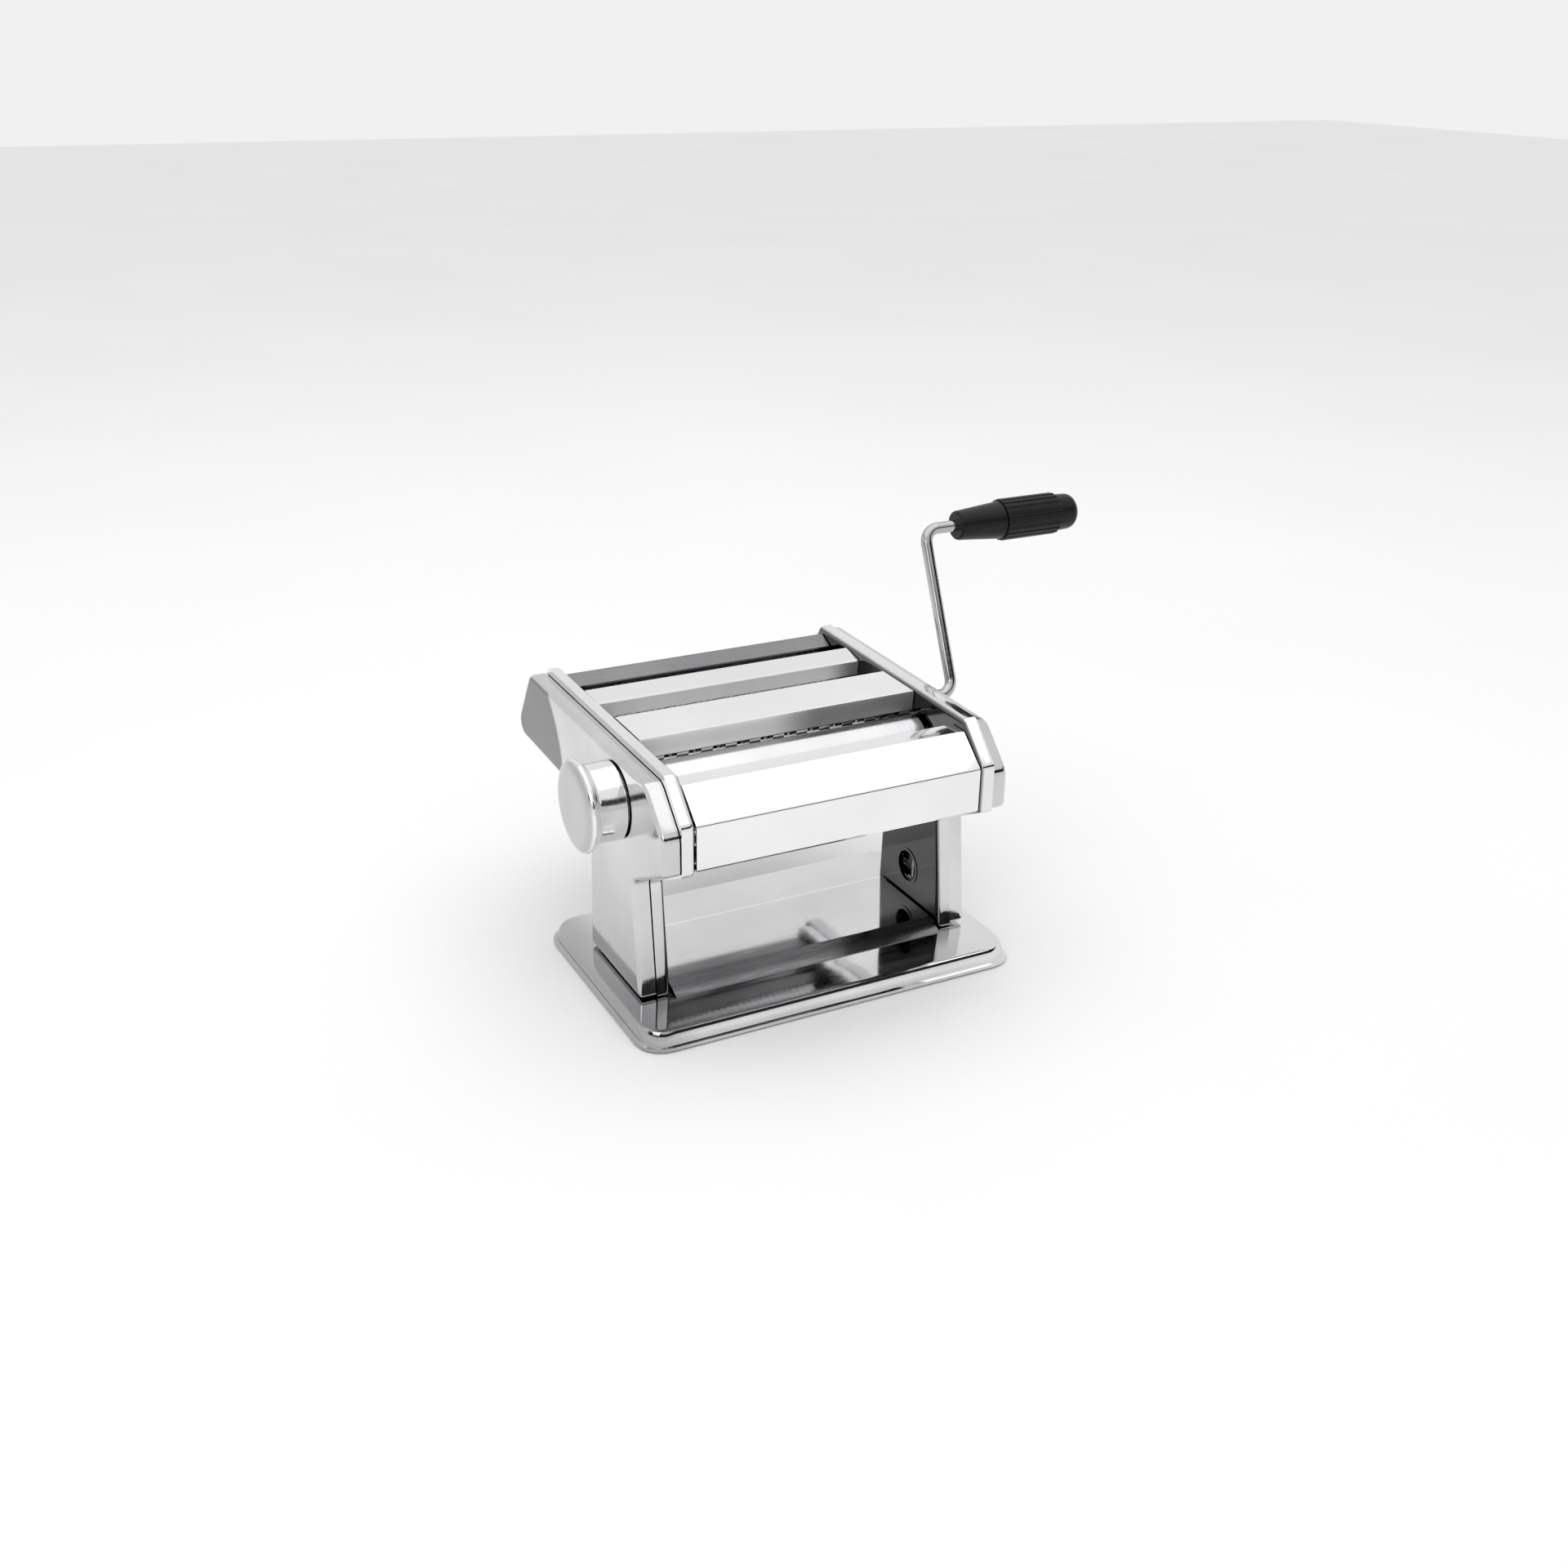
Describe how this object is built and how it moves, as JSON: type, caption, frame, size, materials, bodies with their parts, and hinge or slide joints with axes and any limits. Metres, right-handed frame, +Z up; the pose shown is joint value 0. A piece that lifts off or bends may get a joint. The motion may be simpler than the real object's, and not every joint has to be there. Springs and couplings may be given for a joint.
{
  "type": "pasta roller machine",
  "caption": "Hand-cranked dough roller on a flat base: two pressed steel side frames carry smooth rollers with a thickness knob and two pairs of noodle cutters.",
  "frame": {"origin": "on the table, under the middle of the base", "axes": "+X towards the crank, -Y towards the side where the dough goes in, +Z up"},
  "size_m": [0.3366, 0.196, 0.2062],
  "materials": {
    "mirror_steel": "polished pressed steel",
    "grey_steel": "satin sheet steel",
    "roller_steel": "ground steel",
    "gear_steel": "machined steel, lightly oiled",
    "crank_steel": "drawn bright steel rod",
    "black_plastic": "moulded black plastic",
    "base_rubber": "non-slip pad",
    "bush_plastic": "moulded bearing plastic"
  },
  "bodies": {
    "machine_body": {"base_plate": "mirror_steel", "left_frame": "mirror_steel", "right_frame": "mirror_steel", "left_cover": "mirror_steel", "right_cover": "mirror_steel", "front_panel": "mirror_steel", "centre_panel": "mirror_steel", "narrow_strip": "mirror_steel", "rear_panel": "grey_steel", "fixed_roller_scraper": "grey_steel", "adjustable_roller_scraper": "grey_steel", "wide_front_comb": "grey_steel", "wide_rear_comb": "grey_steel", "fine_front_comb": "grey_steel", "fine_rear_comb": "grey_steel", "index_plate": "gear_steel", "front_tie_rod": "crank_steel", "rear_tie_rod": "crank_steel", "base_mat": "base_rubber", "left_roller_bush": "bush_plastic", "right_roller_bush": "bush_plastic", "left_wide_front_bush": "bush_plastic", "right_wide_front_bush": "bush_plastic", "left_wide_rear_bush": "bush_plastic", "right_wide_rear_bush": "bush_plastic", "left_fine_front_bush": "bush_plastic", "right_fine_front_bush": "bush_plastic", "left_fine_rear_bush": "bush_plastic", "right_fine_rear_bush": "bush_plastic", "left_regulator_bush": "bush_plastic", "right_regulator_bush": "bush_plastic"},
    "fixed_roller": {"fixed_roller": "roller_steel", "fixed_roller_gear": "gear_steel", "fixed_roller_socket": "gear_steel"},
    "roller_carriage": {"left_bearing_block": "gear_steel", "right_bearing_block": "gear_steel"},
    "adjustable_roller": {"adjustable_roller": "roller_steel", "adjustable_roller_gear": "gear_steel"},
    "regulator": {"regulator_shaft": "gear_steel", "left_cam": "gear_steel", "right_cam": "gear_steel", "knob_spring": "crank_steel"},
    "knob": {"knob_shell": "mirror_steel", "knob_core": "black_plastic", "index_pin": "gear_steel"},
    "wide_front_cutter": {"wide_cutter_front": "roller_steel", "wide_front_gear": "gear_steel", "wide_cutter_socket": "gear_steel"},
    "wide_rear_cutter": {"wide_cutter_rear": "roller_steel", "wide_rear_gear": "gear_steel"},
    "fine_front_cutter": {"fine_cutter_front": "roller_steel", "fine_front_gear": "gear_steel"},
    "fine_rear_cutter": {"fine_cutter_rear": "roller_steel", "fine_rear_gear": "gear_steel", "fine_cutter_socket": "gear_steel"},
    "crank": {"crank_rod": "crank_steel"},
    "grip": {"grip_nose": "black_plastic", "grip_sleeve": "black_plastic", "grip_end_cap": "black_plastic"}
  },
  "joints": [
    {"name": "regulator_turn", "type": "hinge", "parent": "machine_body", "child": "regulator", "pos_m": [0, -0.0078, 0.1082], "axis": [1, 0, 0], "range_deg": [0, 324]},
    {"name": "knob_pull", "type": "slide", "parent": "regulator", "child": "knob", "axis": [-1, 0, 0], "range_m": [0, 0.004], "stiffness_N_per_m": 800, "springref_m": -0.002, "deforming": ["knob_spring"]},
    {"name": "roller_gap", "type": "slide", "parent": "machine_body", "child": "roller_carriage", "axis": [0, -1, 0], "range_m": [0, 0.0027]},
    {"name": "fixed_roller_spin", "type": "hinge", "parent": "machine_body", "child": "fixed_roller", "pos_m": [0, -0.0375, 0.1104], "axis": [1, 0, 0], "continuous": true},
    {"name": "adjustable_roller_spin", "type": "hinge", "parent": "roller_carriage", "child": "adjustable_roller", "pos_m": [0, -0.0065, 0.1082], "axis": [1, 0, 0], "continuous": true},
    {"name": "wide_front_spin", "type": "hinge", "parent": "machine_body", "child": "wide_front_cutter", "pos_m": [0, 0.0351, 0.112], "axis": [1, 0, 0], "continuous": true},
    {"name": "wide_rear_spin", "type": "hinge", "parent": "machine_body", "child": "wide_rear_cutter", "pos_m": [0, 0.0537, 0.112], "axis": [1, 0, 0], "continuous": true},
    {"name": "fine_rear_spin", "type": "hinge", "parent": "machine_body", "child": "fine_rear_cutter", "pos_m": [0, 0.0898, 0.118], "axis": [1, 0, 0], "continuous": true},
    {"name": "fine_front_spin", "type": "hinge", "parent": "machine_body", "child": "fine_front_cutter", "pos_m": [0, 0.0722, 0.118], "axis": [1, 0, 0], "continuous": true},
    {"name": "crank_pull_out", "type": "slide", "parent": "wide_front_cutter", "child": "crank", "axis": [1, 0, 0], "range_m": [0, 0.04]},
    {"name": "grip_spin", "type": "hinge", "parent": "crank", "child": "grip", "pos_m": [0, 0.07187, 0.19459], "axis": [1, 0, 0], "continuous": true}
  ],
  "couplings": [
    {"joint": "regulator_turn", "follows": "roller_gap", "rad_per_m": 2094},
    {"joint": "adjustable_roller_spin", "follows": "fixed_roller_spin", "ratio": -1},
    {"joint": "wide_rear_spin", "follows": "wide_front_spin", "ratio": -1},
    {"joint": "fine_front_spin", "follows": "fine_rear_spin", "ratio": -1}
  ]
}
